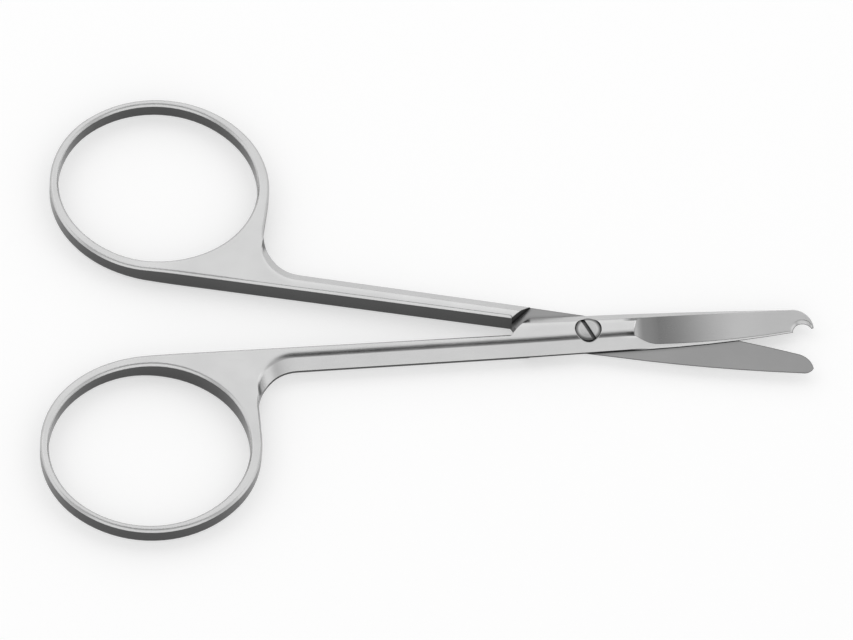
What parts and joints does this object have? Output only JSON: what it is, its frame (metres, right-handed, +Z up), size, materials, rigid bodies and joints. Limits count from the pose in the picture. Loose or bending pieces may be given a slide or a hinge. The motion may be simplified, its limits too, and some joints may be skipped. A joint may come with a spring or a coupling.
{
  "type": "suture scissors",
  "caption": "Small stainless steel suture scissors with finger rings, a lapped screw joint, a blunt blade and a blade with a hooked notch at its tip.",
  "frame": {"origin": "where the pivot screw's axis meets the surface that the scissors lie on", "axes": "+X from the pivot to the blade tips, midway between the half-open halves; +Y towards the plain blade half's finger ring; +Z up along the pivot, out of the slotted screw head"},
  "size_m": [0.0879, 0.0584, 0.0028],
  "materials": {
    "plain_half_steel": "satin ground stainless steel",
    "hooked_half_steel": "satin ground stainless steel",
    "screw_steel": "satin turned stainless steel"
  },
  "bodies": {
    "plain_side": {"plain_blade_half": "plain_half_steel", "pivot_screw": "screw_steel"},
    "hooked_side": {"hooked_blade_half": "hooked_half_steel"}
  },
  "joints": [
    {"name": "blade_pivot", "type": "hinge", "parent": "plain_side", "child": "hooked_side", "pos_m": [0, 0, 0.0014], "axis": [0, 0, 1], "range_deg": [-12.5, 47.3]}
  ]
}
